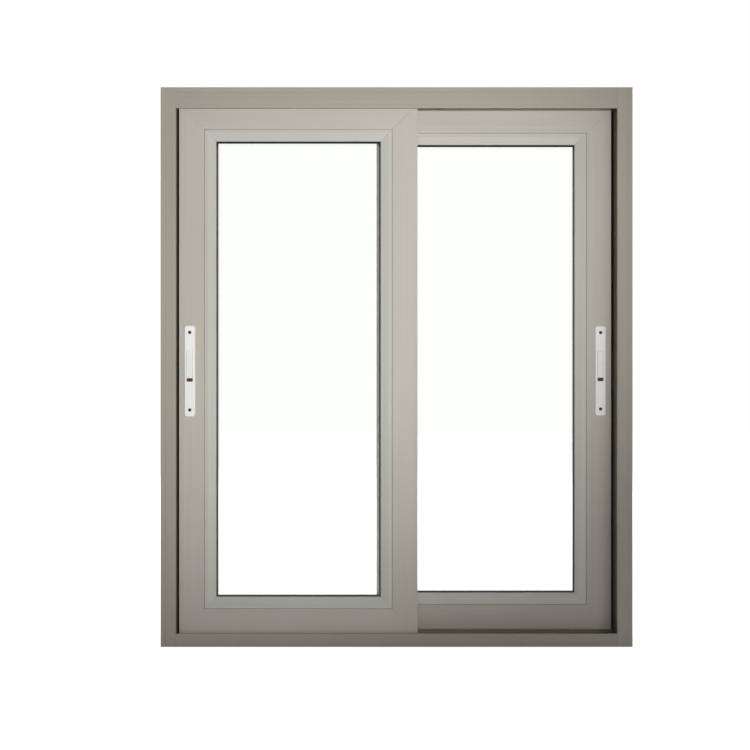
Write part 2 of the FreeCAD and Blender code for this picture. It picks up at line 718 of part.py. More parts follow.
def roller_wheels(sash):
    """Grooved wheels that run on the rail."""
    wheels = []
    half = ROLLER_WIDTH / 2
    groove = ROLLER_GROOVE_WIDTH / 2
    foot = groove - ROLLER_GROOVE_TAPER
    bore = ROLLER_AXLE + ROLLER_FIT
    for x, z in roller_places(sash):
        plane = Plane(Vector(x, sash.track, z), Vector(0, 1, 0), Vector(0, 0, 1))
        rim = ROLLER_RADIUS - ROLLER_RIM
        corners = [(-half, bore), (half, bore), (half, rim), (half - ROLLER_RIM, ROLLER_RADIUS)]
        corners += [(groove, ROLLER_RADIUS), (foot, ROLLER_RADIUS - ROLLER_GROOVE)]
        corners += [(-foot, ROLLER_RADIUS - ROLLER_GROOVE), (-groove, ROLLER_RADIUS)]
        corners += [(ROLLER_RIM - half, ROLLER_RADIUS), (-half, rim)]
        wheel = face(plane, corners).revolve(Vector(x, sash.track, z), Vector(0, 1, 0), 360)
        wheels.append(wheel)
    return wheels


def roller_housings(sash):
    """Inverted channel with an axle, seated against the channel's floor."""
    housings = []
    half = CHANNEL_WIDTH / 2 - HOUSING_SIDE_GAP
    wall = HOUSING_WALL
    floor = SASH_BOTTOM + CHANNEL_DEPTH
    low = RAIL_TOP + HOUSING_RAIL_GAP
    for x, z in roller_places(sash):
        plane = Plane(Vector(x - HOUSING_LENGTH / 2, sash.track, 0), Vector(0, 1, 0), Vector(0, 0, 1))
        corners = [(-half, low), (-half + wall, low), (-half + wall, floor - wall)]
        corners += [(half - wall, floor - wall), (half - wall, low), (half, low), (half, floor)]
        corners += [(-half, floor)]
        cheeks = face(plane, corners).extrude(Vector(HOUSING_LENGTH, 0, 0))
        start = Vector(x, sash.track - half, z)
        axle = Part.makeCylinder(ROLLER_AXLE, 2 * half, start, Vector(0, 1, 0))
        housings.append(cheeks.fuse(axle).removeSplitter())
    return housings


def pile_strip(plane, centre, seat, out, reach, run):
    """Brush strip: a backing on its seat and a narrower brush that reaches away from it."""
    half = PILE_WIDTH / 2
    brush = PILE_BRUSH_WIDTH / 2
    base = seat + out * PILE_BASE
    tip = seat + out * reach
    corners = [(centre - half, seat), (centre + half, seat), (centre + half, base), (centre + brush, base)]
    corners += [(centre + brush, tip), (centre - brush, tip), (centre - brush, base), (centre - half, base)]
    return face(plane, corners).extrude(run)


def pile_seals(sash):
    """Brush strips in the channel, either side of the head fin and of the jamb fin."""
    strips = []
    reach = (CHANNEL_WIDTH - FIN_THICKNESS) / 2 - PILE_GAP
    centre = PILE_INSET + PILE_WIDTH / 2
    ends = PILE_INSET + PILE_WIDTH + PILE_NIB + PILE_END_GAP
    for seat, out in ((CHANNEL_FRONT, 1), (CHANNEL_BACK, -1)):
        for side in ("top", sash.lock_side):
            plane = sash.plane(side)
            run = sash.run(side)
            direction = Vector(run)
            direction.normalize()
            plane.origin = plane.origin + direction * ends
            strips.append(pile_strip(plane, centre, seat, out, reach, run - direction * (2 * ends)))
    return strips


def interlock_pile(front_sash):
    """Brush strip between the two hooks, seated on the front sash's lip."""
    lip = SASH_DEPTH + hook_lip_distance()
    ends = HEAD_FIN_OVERLAP + SASH_FACE
    plane = front_sash.plane(front_sash.meeting_side)
    plane.origin = plane.origin + Vector(0, 0, ends)
    run = front_sash.run(front_sash.meeting_side) - Vector(0, 0, 2 * ends)
    return pile_strip(plane, SASH_OVERLAP / 2, lip, -1, HOOK_LIP_GAP - PILE_GAP, run)


def anti_lift_block(sash):
    """Block under the head's chamber, between the fin and the lip, just above the sash."""
    side = -1 if sash.track < 0 else 1
    near = sash.track + side * (FIN_THICKNESS / 2 + ANTI_LIFT_SIDE_GAP)
    far = side * (HALF_DEPTH - FRAME_WALL - ANTI_LIFT_SIDE_GAP)
    middle = (sash.left + sash.right) / 2
    start = middle - ANTI_LIFT_LENGTH / 2
    block = box(start, near, SASH_TOP + ANTI_LIFT_GAP, start + ANTI_LIFT_LENGTH, far, CHAMBER_FLOOR)
    low = SASH_TOP + ANTI_LIFT_GAP
    foot = [edge for edge in block.Edges if abs(edge.BoundBox.ZMax - low) < 1e-6
            and edge.BoundBox.YLength > 1]
    return block.makeChamfer(ANTI_LIFT_EDGE, foot)


# Locks

def lock_plane(sash):
    """Drawing plane on the lock stile's face, centred on the lock, second direction up."""
    inward = 1 if sash.lock_side == "left" else -1
    edge = sash.left if sash.lock_side == "left" else sash.right
    centre = Vector(edge + inward * LOCK_INSET, sash.front, LOCK_LEVEL)
    return Plane(centre, Vector(1, 0, 0), Vector(0, 0, 1))


def lock_slot(plane, gap, low, length):
    half = LOCK_SLOT_WIDTH / 2 - gap
    return rectangle(plane, -half, low, half, low + length, LOCK_SLOT_RADIUS)


def lock_plate(sash):
    plane = lock_plane(sash)
    half_w = LOCK_WIDTH / 2
    half_h = LOCK_HEIGHT / 2
    plate = rectangle(plane, -half_w, -half_h, half_w, half_h, LOCK_CORNER)
    plate = plate.extrude(Vector(0, -LOCK_THICKNESS, 0))
    front = sash.front - LOCK_THICKNESS
    rim = [edge for edge in plate.Edges if abs(edge.BoundBox.YMin - front) < 1e-6
           and abs(edge.BoundBox.YMax - front) < 1e-6]
    plate = plate.makeChamfer(LOCK_EDGE, rim)
    low = LOCK_SLOT_LIFT - LOCK_SLOT_LENGTH / 2
    pocket = lock_slot(plane, 0, low, LOCK_SLOT_LENGTH).extrude(Vector(0, -2 * LOCK_THICKNESS, 0))
    pocket.translate(Vector(0, -(LOCK_THICKNESS - LOCK_SLOT_DEPTH), 0))
    plate = plate.cut(pocket)
    for sign in (-1, 1):
        start = Vector(plane.origin.x, sash.front + 1, plane.origin.z + sign * LOCK_SCREW_PITCH / 2)
        radius = LOCK_SCREW_SHANK + LOCK_SCREW_GAP
        hole = Part.makeCylinder(radius, 2 * LOCK_THICKNESS, start, Vector(0, -1, 0))
        plate = plate.cut(hole).cut(screw_sink(sash, sign, LOCK_SCREW_GAP))
    return plate


def screw_sink(sash, sign, gap):
    """Cone that a countersunk head fills."""
    plane = lock_plane(sash)
    top = sash.front - LOCK_THICKNESS + LOCK_SCREW_SINK
    depth = LOCK_SCREW_RADIUS - LOCK_SCREW_SHANK
    centre = Vector(plane.origin.x, top, plane.origin.z + sign * LOCK_SCREW_PITCH / 2)
    cone = Part.makeCone(LOCK_SCREW_RADIUS + gap, LOCK_SCREW_SHANK + gap, depth, centre, Vector(0, 1, 0))
    if gap == 0:
        return cone
    mouth = Part.makeCylinder(LOCK_SCREW_RADIUS + gap, 2 * LOCK_SCREW_SINK, centre, Vector(0, -1, 0))
    return cone.fuse(mouth)


def lock_screws(sash):
    screws = []
    plane = lock_plane(sash)
    for sign in (-1, 1):
        head = screw_sink(sash, sign, 0)
        top = sash.front - LOCK_THICKNESS + LOCK_SCREW_SINK
        start = Vector(plane.origin.x, top, plane.origin.z + sign * LOCK_SCREW_PITCH / 2)
        shank = Part.makeCylinder(LOCK_SCREW_SHANK, LOCK_SCREW_LENGTH, start, Vector(0, 1, 0))
        screws.append(head.fuse(shank).removeSplitter())
    return screws


def lock_hole_cutters(sash):
    """Holes in the lock stile's face under the lock's screws."""
    plane = lock_plane(sash)
    holes = []
    for sign in (-1, 1):
        start = Vector(plane.origin.x, sash.front - 1, plane.origin.z + sign * LOCK_SCREW_PITCH / 2)
        radius = LOCK_SCREW_SHANK + LOCK_SCREW_GAP
        holes.append(Part.makeCylinder(radius, CHANNEL_FRONT + 1, start, Vector(0, 1, 0)))
    return Part.makeCompound(holes)


def lock_slider(sash):
    """Thumb slider in the upper part of the plate's slot, with grip ribs."""
    plane = lock_plane(sash)
    low = LOCK_SLOT_LIFT + LOCK_SLOT_LENGTH / 2 - SLIDER_GAP - SLIDER_LENGTH
    base = lock_slot(plane, SLIDER_GAP, low, SLIDER_LENGTH)
    floor = LOCK_THICKNESS - LOCK_SLOT_DEPTH
    height = LOCK_SLOT_DEPTH + SLIDER_RISE
    slider = base.extrude(Vector(0, -height, 0))
    slider.translate(Vector(0, -floor, 0))
    top = sash.front - floor - height
    rim = [edge for edge in slider.Edges if abs(edge.BoundBox.YMin - top) < 1e-6
           and abs(edge.BoundBox.YMax - top) < 1e-6]
    slider = slider.makeChamfer(SLIDER_EDGE, rim)
    middle = plane.origin.z + low + SLIDER_LENGTH / 2
    span = (SLIDER_GRIP_COUNT - 1) * SLIDER_GRIP_PITCH
    for index in range(SLIDER_GRIP_COUNT):
        z = middle - span / 2 + index * SLIDER_GRIP_PITCH
        start = Vector(plane.origin.x - LOCK_SLOT_WIDTH / 2, top, z)
        groove = Part.makeCylinder(SLIDER_GRIP_RADIUS, LOCK_SLOT_WIDTH, start, Vector(1, 0, 0))
        slider = slider.cut(groove)
    return slider


def lock_indicator(sash):
    """Coloured tab on the slot's floor, below the slider."""
    plane = lock_plane(sash)
    low = LOCK_SLOT_LIFT - LOCK_SLOT_LENGTH / 2 + SLIDER_GAP
    length = LOCK_SLOT_LENGTH - SLIDER_LENGTH - 3 * SLIDER_GAP
    tab = lock_slot(plane, SLIDER_GAP, low, length).extrude(Vector(0, -INDICATOR_THICKNESS, 0))
    tab.translate(Vector(0, -(LOCK_THICKNESS - LOCK_SLOT_DEPTH), 0))
    return tab


def lock_keeper(sash):
    """Slotted plate on the jamb's web, beside the fin, that the lock's hook catches."""
    out = -1 if sash.lock_side == "left" else 1
    web = out * DAYLIGHT_HALF
    edge = sash.track - FIN_THICKNESS / 2 - PILE_GAP
    plate = box(web, edge - KEEPER_WIDTH, LOCK_LEVEL - KEEPER_LENGTH / 2,
                web - out * KEEPER_THICKNESS, edge, LOCK_LEVEL + KEEPER_LENGTH / 2)
    plane = Plane(Vector(web - KEEPER_THICKNESS * 2, edge - KEEPER_WIDTH / 2, LOCK_LEVEL),
                  Vector(0, 0, 1), Vector(0, -1, 0))
    return plate.cut(slot_cutter(plane, 0, 0, KEEPER_SLOT_LENGTH, KEEPER_SLOT_WIDTH, 4 * KEEPER_THICKNESS))


def build():
    front = Sash("front", "left")
    rear = Sash("rear", "right")
    left_jamb = frame_jamb()
    parts = {
        "frame_head": frame_head(),
        "frame_sill": frame_sill(),
        "frame_jamb_left": left_jamb,
        "frame_jamb_right": turned(left_jamb),
        "frame_corner_screws": frame_corner_screws(),
        "lock_keepers": Part.makeCompound([lock_keeper(front), lock_keeper(rear)]),
    }
    for sash in (front, rear):
        parts.update(sash_members(sash))
        for side in SIDES:
            bead = sash.member(side, bead_section(sash.plane(side)))
            label = {"top": "top", "bottom": "bottom"}.get(side)
            if label is None:
                label = "meeting_side" if side == sash.meeting_side else "lock_side"
            parts[sash.name + "_bead_" + label] = bead
        parts[sash.name + "_inner_gasket"] = sash.ring(inner_gasket_section)
        parts[sash.name + "_outer_gasket"] = sash.ring(outer_gasket_section)
        parts[sash.name + "_glass_spacer"] = sash.ring(spacer_section)
        parts[sash.name + "_glass"] = glass_panes(sash)
        parts[sash.name + "_lock_plate"] = lock_plate(sash)
        parts[sash.name + "_lock_slider"] = lock_slider(sash)
    pairs = {
        "corner_cleats": corner_cleats,
        "setting_blocks": setting_blocks,
        "roller_wheels": roller_wheels,
        "roller_housings": roller_housings,
        "lock_screws": lock_screws,
    }
    for name, maker in pairs.items():
        parts[name] = Part.makeCompound(maker(front) + maker(rear))
    parts["anti_lift_blocks"] = Part.makeCompound([anti_lift_block(front), anti_lift_block(rear)])
    parts["lock_indicators"] = Part.makeCompound([lock_indicator(front), lock_indicator(rear)])
    parts["pile_seals"] = Part.makeCompound(pile_seals(front) + pile_seals(rear) + [interlock_pile(front)])
    return parts


os.makedirs("parts", exist_ok=True)
for node, shape in build().items():
    shape.exportStep("parts/" + node + ".step")
    print(node, len(shape.Solids), round(shape.Volume), shape.isValid())
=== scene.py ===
"""Looks, light and camera for a horizontal sliding window with two sashes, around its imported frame."""

import logging
import math
from dataclasses import dataclass
from enum import Enum

import bmesh
import bpy
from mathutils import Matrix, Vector


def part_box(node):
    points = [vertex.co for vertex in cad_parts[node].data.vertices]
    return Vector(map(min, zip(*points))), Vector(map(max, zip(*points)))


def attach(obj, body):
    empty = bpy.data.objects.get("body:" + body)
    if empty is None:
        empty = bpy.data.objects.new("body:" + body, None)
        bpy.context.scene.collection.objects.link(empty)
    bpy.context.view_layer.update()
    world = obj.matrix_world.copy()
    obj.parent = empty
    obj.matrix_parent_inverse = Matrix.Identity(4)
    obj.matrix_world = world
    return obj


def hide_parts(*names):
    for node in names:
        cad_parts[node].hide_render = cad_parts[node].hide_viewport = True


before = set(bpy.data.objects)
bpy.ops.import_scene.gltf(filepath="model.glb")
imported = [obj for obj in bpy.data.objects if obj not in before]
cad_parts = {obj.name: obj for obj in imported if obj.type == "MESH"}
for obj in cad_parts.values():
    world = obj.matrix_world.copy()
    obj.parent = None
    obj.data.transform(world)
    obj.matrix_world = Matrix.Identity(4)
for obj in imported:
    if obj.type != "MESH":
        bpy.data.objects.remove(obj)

LOG = logging.getLogger("sliding_window")
BODY = "root"
MM = 0.001
SEED = 7
WHITE = "#FFFFFF"

Place = tuple[float, float, float]


class Run(Enum):
    """The direction in which a profile was extruded."""

    ACROSS = 0
    UPRIGHT = 2


class SashPlace(Enum):
    """The two sashes, named as their nodes are."""

    FRONT = "front"
    REAR = "rear"


# Helpers for nodes


def linear(colour: str) -> tuple[float, float, float, float]:
    """Turns an sRGB hex colour to linear.

    Args:
        colour: Six hex digits after a hash sign.

    Returns:
        Red, green, blue and an alpha of 1.
    """
    channels = [int(colour[i:i + 2], 16) / 255 for i in (1, 3, 5)]
    turned = [c / 12.92 if c <= 0.04045 else ((c + 0.055) / 1.055) ** 2.4 for c in channels]
    return (turned[0], turned[1], turned[2], 1.0)


def per_metre(size_mm: float) -> float:
    """Scale of a noise whose features are size_mm wide."""
    return 1.0 / (size_mm * MM)


def add_node(
    tree: bpy.types.NodeTree,
    kind: str,
    sockets: dict[str | int, object] | None = None,
    **settings: object,
) -> bpy.types.Node:
    """Adds a node, with its settings and what goes into its sockets.

    Args:
        tree: The material's, world's or geometry's node tree.
        kind: The node's type name.
        sockets: A value or another node's output for inputs, by name or index.
        settings: Values of the node's own attributes.

    Returns:
        The new node.
    """
    node = tree.nodes.new(kind)
    for name, value in settings.items():
        setattr(node, name, value)
    for key, value in (sockets or {}).items():
        if isinstance(value, bpy.types.NodeSocket):
            tree.links.new(value, node.inputs[key])
        else:
            node.inputs[key].default_value = value
    return node


def blank_material(name: str) -> tuple[bpy.types.Material, bpy.types.NodeTree]:
    """Makes a material with an empty node tree.

    Args:
        name: The material's name.

    Returns:
        The material and its tree.
    """
    material = bpy.data.materials.new(name)
    material.use_nodes = True
    material.node_tree.nodes.clear()
    return material, material.node_tree


def close_material(tree: bpy.types.NodeTree, surface: bpy.types.NodeSocket) -> None:
    """Links a shader to a new material output."""
    add_node(tree, "ShaderNodeOutputMaterial", {"Surface": surface})


def seen_directly(tree: bpy.types.NodeTree) -> bpy.types.NodeSocket:
    """Adds a test for what is seen, in a shine and through glass too.

    Args:
        tree: The material's or world's node tree.

    Returns:
        1 for rays from the camera, off a shine or through glass, and 0 for rays that light.
    """
    rays = add_node(tree, "ShaderNodeLightPath")
    shiny = add_node(tree, "ShaderNodeMath", {
        0: rays.outputs["Is Camera Ray"], 1: rays.outputs["Is Glossy Ray"]}, operation="MAXIMUM")
    seen = add_node(tree, "ShaderNodeMath", {
        0: shiny.outputs[0], 1: rays.outputs["Is Transmission Ray"]}, operation="MAXIMUM")
    return seen.outputs[0]


# Finishes


@dataclass(frozen=True)
class PowderCoat:
    """Satin champagne powder coat on extruded aluminium.

    The coat is sprayed and stoved, which leaves a fine orange peel. The extruded face under it
    keeps faint die lines along the profile, and the colour drifts a little along its length.
    Faces nearer the window's middle than the given half width are the channel walls. Behind their
    front edge they are painted darker, towards dark brown: painted shade for the deep, narrow channel.
    """

    name: str
    colour: str
    drift_colour: str
    run: Run
    roughness: float = 0.55
    metallic: float = 0.08
    shine: float = 0.1
    drift_mm: float = 95.0
    drift_stretch: float = 4.0
    line_mm: float = 3.2
    line_length_mm: float = 900.0
    line_depth_mm: float = 0.018
    line_span: tuple[float, float] = (0.3, 0.7)
    line_shade: tuple[float, float] = (0.955, 1.03)
    line_strength: float = 0.6
    roughness_spread: float = 0.05
    peel_mm: float = 0.9
    peel_depth_mm: float = 0.012
    peel_strength: float = 0.8
    # The channel walls' painted shade: their half width, the front edge over which it sets in, its share and
    # its colour.
    shaded_half_mm: float = 0.0
    shade_front_mm: tuple[float, float] = (-41.0, -31.0)
    shade_cover: float = 0.85
    shade_colour: str = "#3B362F"

    def material(self) -> bpy.types.Material:
        """Builds the material.

        Returns:
            The coat, with its lines along the profile's run.
        """
        material, tree = blank_material(self.name)
        place = add_node(tree, "ShaderNodeTexCoord").outputs["Object"]
        along = [1.0, 1.0, 1.0]
        along[self.run.value] = 1.0 / self.drift_stretch
        drift_place = add_node(tree, "ShaderNodeVectorMath", {0: place, 1: along}, operation="MULTIPLY")
        drift = add_node(tree, "ShaderNodeTexNoise", {
            "Vector": drift_place.outputs[0], "Scale": per_metre(self.drift_mm), "Detail": 2.0})
        colour = add_node(tree, "ShaderNodeMix", {
            0: drift.outputs[0], 6: linear(self.colour), 7: linear(self.drift_colour)}, data_type="RGBA")
        along[self.run.value] = self.line_mm / self.line_length_mm
        line_place = add_node(tree, "ShaderNodeVectorMath", {0: place, 1: along}, operation="MULTIPLY")
        lines = add_node(tree, "ShaderNodeTexNoise", {
            "Vector": line_place.outputs[0], "Scale": per_metre(self.line_mm), "Detail": 3.0})
        shade = add_node(tree, "ShaderNodeMapRange", {
            "Value": lines.outputs[0], "From Min": self.line_span[0], "From Max": self.line_span[1],
            "To Min": self.line_shade[0], "To Max": self.line_shade[1]})
        lined = add_node(tree, "ShaderNodeMix", {
            0: 1.0, 6: colour.outputs[2], 7: shade.outputs[0]}, data_type="RGBA", blend_type="MULTIPLY")
        coat = lined.outputs[2]
        # Painted shade: the channel walls turn towards a dark brown behind their front edge, as the deep,
        # narrow channel is dark.
        if self.shaded_half_mm:
            apart = add_node(tree, "ShaderNodeSeparateXYZ", {0: place})
            away = add_node(tree, "ShaderNodeMath", {0: apart.outputs["X"]}, operation="ABSOLUTE")
            inside = add_node(tree, "ShaderNodeMath", {
                0: away.outputs[0], 1: self.shaded_half_mm * MM}, operation="LESS_THAN")
            behind = add_node(tree, "ShaderNodeMapRange", {
                "Value": apart.outputs["Y"], "From Min": self.shade_front_mm[0] * MM,
                "From Max": self.shade_front_mm[1] * MM})
            shaded_wall = add_node(tree, "ShaderNodeMath", {
                0: inside.outputs[0], 1: behind.outputs[0]}, operation="MULTIPLY")
            shade_amount = add_node(tree, "ShaderNodeMath", {
                0: shaded_wall.outputs[0], 1: self.shade_cover}, operation="MULTIPLY")
            wall_shade = add_node(tree, "ShaderNodeMix", {
                0: shade_amount.outputs[0], 6: coat, 7: linear(self.shade_colour)}, data_type="RGBA")
            coat = wall_shade.outputs[2]
        rough = add_node(tree, "ShaderNodeMapRange", {
            "Value": lines.outputs[0], "To Min": self.roughness - self.roughness_spread,
            "To Max": self.roughness + self.roughness_spread})
        peel = add_node(tree, "ShaderNodeTexNoise", {
            "Vector": place, "Scale": per_metre(self.peel_mm), "Detail": 1.0})
        lined_bump = add_node(tree, "ShaderNodeBump", {
            "Strength": self.line_strength, "Distance": self.line_depth_mm * MM,
            "Height": lines.outputs[0]})
        bump = add_node(tree, "ShaderNodeBump", {
            "Strength": self.peel_strength, "Distance": self.peel_depth_mm * MM,
            "Height": peel.outputs[0], "Normal": lined_bump.outputs[0]})
        shader = add_node(tree, "ShaderNodeBsdfPrincipled", {
            "Base Color": coat, "Metallic": self.metallic, "Roughness": rough.outputs[0],
            "Specular IOR Level": self.shine, "Normal": bump.outputs[0]})
        close_material(tree, shader.outputs[0])
        return material


@dataclass(frozen=True)
class GrainedSurface:
    """A plain surface with a fine grain: moulded plastic, rubber, enamel or bare metal."""

    name: str
    colour: str
    drift_colour: str
    roughness: float
    roughness_spread: float
    metallic: float = 0.0
    drift_mm: float = 12.0
    grain_mm: float = 0.6
    grain_depth_mm: float = 0.01
    grain_strength: float = 0.7
    stretch: Place = (1.0, 1.0, 1.0)
    # A darker colour painted above a height as shade, and that height.
    upper_shade_colour: str = ""
    upper_shade_above_mm: float = 0.0

    def material(self) -> bpy.types.Material:
        """Builds the material.

        Returns:
            The surface, with its grain stretched where the making leaves it so. With a darker colour for
            the upper run, it turns to that above a height, as painted shade.
        """
        material, tree = blank_material(self.name)
        place = add_node(tree, "ShaderNodeTexCoord").outputs["Object"]
        pulled = add_node(tree, "ShaderNodeVectorMath", {0: place, 1: self.stretch}, operation="MULTIPLY")
        drift = add_node(tree, "ShaderNodeTexNoise", {
            "Vector": pulled.outputs[0], "Scale": per_metre(self.drift_mm), "Detail": 3.0})
        colour = add_node(tree, "ShaderNodeMix", {
            0: drift.outputs[0], 6: linear(self.colour), 7: linear(self.drift_colour)}, data_type="RGBA")
        # Painted shade: above the given height the colour turns to the darker one.
        if self.upper_shade_colour:
            apart = add_node(tree, "ShaderNodeSeparateXYZ", {0: place})
            above = add_node(tree, "ShaderNodeMath", {
                0: apart.outputs["Z"], 1: self.upper_shade_above_mm * MM}, operation="GREATER_THAN")
            colour = add_node(tree, "ShaderNodeMix", {
                0: above.outputs[0], 6: colour.outputs[2], 7: linear(self.upper_shade_colour)}, data_type="RGBA")
        grain = add_node(tree, "ShaderNodeTexNoise", {
            "Vector": pulled.outputs[0], "Scale": per_metre(self.grain_mm), "Detail": 2.0})
        rough = add_node(tree, "ShaderNodeMapRange", {
            "Value": grain.outputs[0], "To Min": self.roughness - self.roughness_spread,
            "To Max": self.roughness + self.roughness_spread})
        bump = add_node(tree, "ShaderNodeBump", {
            "Strength": self.grain_strength, "Distance": self.grain_depth_mm * MM,
            "Height": grain.outputs[0]})
        shader = add_node(tree, "ShaderNodeBsdfPrincipled", {
            "Base Color": colour.outputs[2], "Metallic": self.metallic, "Roughness": rough.outputs[0],
            "Normal": bump.outputs[0]})
        close_material(tree, shader.outputs[0])
        return material


@dataclass(frozen=True)
class FloatGlass:
    """Clear float glass.

    It is cast flat on molten tin, so it is smooth and almost without colour. The pull on it
    leaves a wave too faint to see but for a slow drift in what it reflects.
    """

    name: str = "clear_float_glass"
    colour: str = "#FEFFFE"
    wave_mm: float = 260.0
    wave_depth_mm: float = 0.02
    wave_strength: float = 0.2
    index: float = 1.5

    def material(self) -> bpy.types.Material:
        """Builds the material.

        Returns:
            Glass that lets lamps through to what is behind it.
        """
        material, tree = blank_material(self.name)
        place = add_node(tree, "ShaderNodeTexCoord").outputs["Object"]
        wave = add_node(tree, "ShaderNodeTexNoise", {
            "Vector": place, "Scale": per_metre(self.wave_mm), "Detail": 0.0})
        bump = add_node(tree, "ShaderNodeBump", {
            "Strength": self.wave_strength, "Distance": self.wave_depth_mm * MM,
            "Height": wave.outputs[0]})
        glass = add_node(tree, "ShaderNodeBsdfPrincipled", {
            "Base Color": linear(self.colour), "Roughness": 0.0, "IOR": self.index,
            "Transmission Weight": 1.0, "Normal": bump.outputs[0]})
        clear = add_node(tree, "ShaderNodeBsdfTransparent", {"Color": linear(self.colour)})
        rays = add_node(tree, "ShaderNodeLightPath")
        mixed = add_node(tree, "ShaderNodeMixShader", {
            0: rays.outputs["Is Shadow Ray"], 1: glass.outputs[0], 2: clear.outputs[0]})
        close_material(tree, mixed.outputs[0])
        return material


# The coat's two colours, between which it drifts, on the sashes, the frame and the beads.
SASH_COAT = ("#C2BBB3", "#B5B2A7")
FRAME_COAT = ("#ADA599", "#A09C91")
BEAD_COAT = ("#BEBCB5", "#B6B4AC")
BEAD_RUNS = {
    Run.ACROSS: ("bead_top", "bead_bottom"),
    Run.UPRIGHT: ("bead_lock_side", "bead_meeting_side"),
}

# White stoved enamel on the locks' steel plates, smooth with a slight orange peel.
PLATE_ENAMEL = GrainedSurface("white_stoved_enamel", "#F0F0EF", "#E9E9E8", 0.38, 0.04, grain_mm=0.8)
# Injection moulded white acetal with a fine spark-eroded texture.
SLIDER_ACETAL = GrainedSurface("moulded_white_acetal", "#EDEEEB", "#E6E7E4", 0.42, 0.05, grain_mm=0.35)
# Injection moulded dark red plastic of the tab, with the same fine texture.
TAB_PLASTIC = GrainedSurface("moulded_red_plastic", "#55211E", "#431917", 0.5, 0.05, grain_mm=0.35)
# Extruded EPDM rubber, dull and mid grey. Above a height its upper run is painted near black, as painted
# shade. Grey dust lies on it everywhere but on the upper run.
GASKET_RUBBER = GrainedSurface(
    "extruded_rubber_upper_shade", "#474643", "#504F4B", 0.74, 0.06, drift_mm=30.0, grain_mm=0.5,
    grain_depth_mm=0.02, upper_shade_colour="#121211", upper_shade_above_mm=1030.0)
# Cast rubber blocks under the glass, dull and slightly coarse.
BLOCK_RUBBER = GrainedSurface(
    "cast_rubber", "#232324", "#2C2C2D", 0.8, 0.05, grain_mm=0.9, grain_depth_mm=0.03)
# Zinc plated pressed steel: pale blue-grey with a soft spangle.
ZINC_STEEL = GrainedSurface(
    "zinc_plated_steel", "#B9BCC0", "#A7AAB0", 0.34, 0.07, metallic=1.0, drift_mm=5.0)
# Blackened steel of the lock screws and keepers: a thin oxide, dark with a dull grey shine.
# On the keepers, which sit in the gap beside the sash, the dark is partly painted shade for that gap.
BLACK_STEEL = GrainedSurface(
    "blackened_steel", "#4B4A48", "#3B3A39", 0.42, 0.07, metallic=0.8, drift_mm=4.0)
# Injection moulded natural nylon: milky, slightly waxy.
NYLON = GrainedSurface("moulded_nylon", "#DAD6CA", "#D0CCC0", 0.5, 0.05)
# Mill finish aluminium, sawn: fine lines and a dull shine.
MILL_ALUMINIUM = GrainedSurface(
    "mill_aluminium", "#C4C5C7", "#B3B4B6", 0.42, 0.1, metallic=1.0, drift_mm=8.0,
    stretch=(1.0, 1.0, 0.15))
# Roll-formed bare aluminium of the bar between the panes: mid grey, with a fine grain and a soft shine.
SPACER_ALUMINIUM = GrainedSurface(
    "rolled_spacer_bar", "#A9AAAB", "#9A9B9C", 0.32, 0.06, metallic=1.0, grain_mm=0.4)
# Perforations in that bar: flat discs painted near black, as painted shade inside each hole.
HOLE_SHADE = GrainedSurface("perforation_shadow", "#17181A", "#1F2022", 0.9, 0.02)
# Siliconised polypropylene pile: mid grey and dull, with a grain as fine as its fibres.
PILE_FIBRE = GrainedSurface(
    "polypropylene_pile", "#7A7A7B", "#68686A", 0.82, 0.06, drift_mm=2.0, grain_mm=0.3,
    grain_depth_mm=0.05)


# Helpers for pieces

WELD = 0.01 * MM


def dress(node: str, material: bpy.types.Material) -> None:
    """Gives a node of the frame its material.

    Args:
        node: The node's name.
        material: What its whole surface shows.
    """
    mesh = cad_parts[node].data
    mesh.materials.clear()
    mesh.materials.append(material)
    LOG.info("dressed %s in %s", node, material.name)


def solids_of(node: str) -> list[list[Vector]]:
    """Splits a node's mesh into its separate solids.

    Args:
        node: The node's name.

    Returns:
        For each solid the places of its corners, in the order of the solids' lowest corners.
    """
    work = bmesh.new()
    work.from_mesh(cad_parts[node].data)
    bmesh.ops.remove_doubles(work, verts=work.verts, dist=WELD)
    left = set(work.verts)
    solids = []
    while left:
        stack = [left.pop()]
        found = []
        while stack:
            corner = stack.pop()
            found.append(corner.co.copy())
            for edge in corner.link_edges:
                other = edge.other_vert(corner)
                if other in left:
                    left.discard(other)
                    stack.append(other)
        solids.append(found)
    work.free()
    return sorted(solids, key=lambda points: tuple(round(c, 5) for c in bounds_of(points)[0]))


def bounds_of(points: list[Vector]) -> tuple[Vector, Vector]:
    """Lowest and highest corner of some points."""
    low = Vector([min(p[i] for p in points) for i in range(3)])
    high = Vector([max(p[i] for p in points) for i in range(3)])
    return low, high


def off_axis(point: Vector, centre: Vector, axis: int) -> float:
    """Distance of a point from the line through a centre along one axis."""
    return sum((point[i] - centre[i]) ** 2 for i in range(3) if i != axis) ** 0.5


def settle(piece: bpy.types.Object, replaced: tuple[str, ...] = ()) -> None:
    """Puts a finished piece on the window's body and hides the nodes that it stands for.

    Args:
        piece: The piece, with its place in its mesh.
        replaced: The nodes that it stands for.
    """
    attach(piece, BODY)
    if replaced:
        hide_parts(*replaced)
    LOG.info("built %s with %d faces", piece.name, len(piece.data.polygons))


def bake(source: bpy.types.Object, name: str) -> bpy.types.Object:
    """Turns an object with a Geometry Nodes modifier into a plain mesh object.

    Args:
        source: The object, which is removed.
        name: The new object's name.

    Returns:
        The new object at the origin, with the modifier's result as its mesh.
    """
    graph = bpy.context.evaluated_depsgraph_get()
    mesh = bpy.data.meshes.new_from_object(source.evaluated_get(graph))
    bpy.data.objects.remove(source)
    mesh.name = name
    piece = bpy.data.objects.new(name, mesh)
    bpy.context.scene.collection.objects.link(piece)
    return piece


